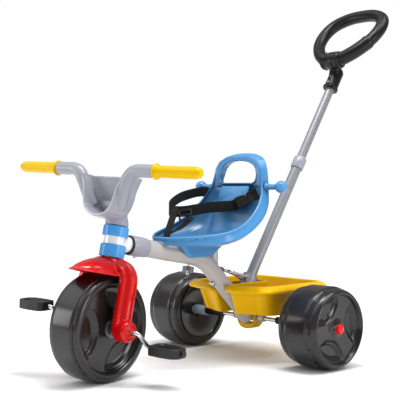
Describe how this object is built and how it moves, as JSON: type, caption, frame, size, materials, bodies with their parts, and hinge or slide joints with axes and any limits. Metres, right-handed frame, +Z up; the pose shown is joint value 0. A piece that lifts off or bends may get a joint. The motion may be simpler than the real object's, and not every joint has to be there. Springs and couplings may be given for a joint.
{
  "type": "children's tricycle",
  "caption": "Pedal tricycle for a small child with a bucket seat and belt, a front wheel driven by cranks, a tipping toy bin and a telescopic push pole with a loop handle.",
  "frame": {"origin": "on the ground under the middle of the bounding box", "axes": "+Z up, the tricycle faces -Y, +X is the rider's left"},
  "size_m": [0.5472, 0.9938, 0.8585],
  "materials": {
    "silver": "satin silver paint",
    "steel": "bright plated steel",
    "grey_plastic": "soft satin grey",
    "blue_plastic": "glossy light blue",
    "red_plastic": "glossy red",
    "yellow_plastic": "satin yellow",
    "dark_plastic": "charcoal, faint sheen",
    "black_plastic": "black satin",
    "red_cap": "glossy orange red",
    "nylon": "off-white",
    "webbing": "dark woven webbing"
  },
  "bodies": {
    "frame": {"frame_tube": "silver", "joint_sleeve": "grey_plastic", "sleeve_seal": "black_plastic", "sleeve_screw": "steel", "frame_bolt": "steel", "frame_nut": "steel", "head_tube": "silver", "upper_headset_ring": "blue_plastic", "lower_headset_ring": "blue_plastic", "seat_post": "silver", "rear_axle": "steel", "axle_tube": "silver", "axle_sleeve_left": "black_plastic", "axle_sleeve_right": "black_plastic", "axle_spacer_left": "grey_plastic", "axle_spacer_right": "grey_plastic", "axle_cap_left": "red_cap", "axle_cap_right": "red_cap", "pole_socket": "silver", "pole_collar": "grey_plastic"},
    "steering": {"fork": "red_plastic", "mudguard": "red_plastic", "steering_stem": "steel", "fork_bush_left": "nylon", "fork_bush_right": "nylon", "handlebar": "grey_plastic", "grip_left": "yellow_plastic", "grip_right": "yellow_plastic"},
    "front_wheel_set": {"front_wheel": "dark_plastic", "front_hub_left": "grey_plastic", "front_hub_right": "grey_plastic", "crank_axle": "steel"},
    "left_pedal": {"pedal_left": "black_plastic", "pedal_cap_left": "steel"},
    "right_pedal": {"pedal_right": "black_plastic", "pedal_cap_right": "steel"},
    "left_rear_wheel": {"rear_wheel_left": "dark_plastic", "inner_bush_left": "nylon", "outer_bush_left": "nylon"},
    "right_rear_wheel": {"rear_wheel_right": "dark_plastic", "inner_bush_right": "nylon", "outer_bush_right": "nylon"},
    "seat": {"seat_shell": "blue_plastic", "side_peg_left": "blue_plastic", "side_peg_right": "blue_plastic", "seat_bolt": "steel", "crotch_strap": "webbing", "waist_strap_left": "webbing", "waist_strap_right": "webbing", "buckle_body": "black_plastic", "buckle_tongue": "black_plastic"},
    "clamp_nut": {"wing_nut": "steel"},
    "bin_tub": {"bin": "yellow_plastic"},
    "lower_pole": {"pole_lower_tube": "silver", "pole_joint": "grey_plastic"},
    "upper_pole": {"pole_upper_tube": "silver", "handle_hub": "black_plastic", "handle_ring": "black_plastic"},
    "bail": {"lock_bail": "steel"}
  },
  "joints": [
    {"name": "steering_turn", "type": "hinge", "parent": "frame", "child": "steering", "pos_m": [0, -0.38405, 0.1107], "axis": [0, 0.213, 0.977], "range_deg": [-54, 34]},
    {"name": "front_wheel_spin", "type": "hinge", "parent": "steering", "child": "front_wheel_set", "pos_m": [0, -0.38405, 0.1107], "axis": [0.9851, 0.168, -0.0366], "continuous": true},
    {"name": "left_pedal_spin", "type": "hinge", "parent": "front_wheel_set", "child": "left_pedal", "pos_m": [0.14097, -0.32616, 0.07249], "axis": [0.9851, 0.168, -0.0366], "continuous": true},
    {"name": "right_pedal_spin", "type": "hinge", "parent": "front_wheel_set", "child": "right_pedal", "pos_m": [-0.14097, -0.44194, 0.14891], "axis": [0.9851, 0.168, -0.0366], "continuous": true},
    {"name": "left_rear_wheel_spin", "type": "hinge", "parent": "frame", "child": "left_rear_wheel", "pos_m": [0.216, 0.05395, 0.09], "axis": [1, 0, 0], "continuous": true},
    {"name": "right_rear_wheel_spin", "type": "hinge", "parent": "frame", "child": "right_rear_wheel", "pos_m": [-0.216, 0.05395, 0.09], "axis": [1, 0, 0], "continuous": true},
    {"name": "seat_slide", "type": "slide", "parent": "frame", "child": "seat", "axis": [0, -0.9836, 0.1804], "range_m": [0, 0.03]},
    {"name": "clamp_nut_turn", "type": "hinge", "parent": "seat", "child": "clamp_nut", "pos_m": [0, -0.13605, 0.24185], "axis": [0, 0.1804, 0.9836], "continuous": true},
    {"name": "bin_tip", "type": "hinge", "parent": "frame", "child": "bin_tub", "pos_m": [0, 0.05395, 0.09], "axis": [-1, 0, 0], "range_deg": [0, 20]},
    {"name": "pole_lift", "type": "slide", "parent": "frame", "child": "lower_pole", "axis": [0, 0.5373, 0.8434], "range_m": [0, 0.03]},
    {"name": "pole_telescope", "type": "slide", "parent": "lower_pole", "child": "upper_pole", "axis": [0, 0.5373, 0.8434], "range_m": [-0.16, 0]},
    {"name": "bail_swing", "type": "hinge", "parent": "frame", "child": "bail", "pos_m": [0, 0.02906, 0.18552], "axis": [-1, 0, 0], "range_deg": [0, 100]}
  ]
}
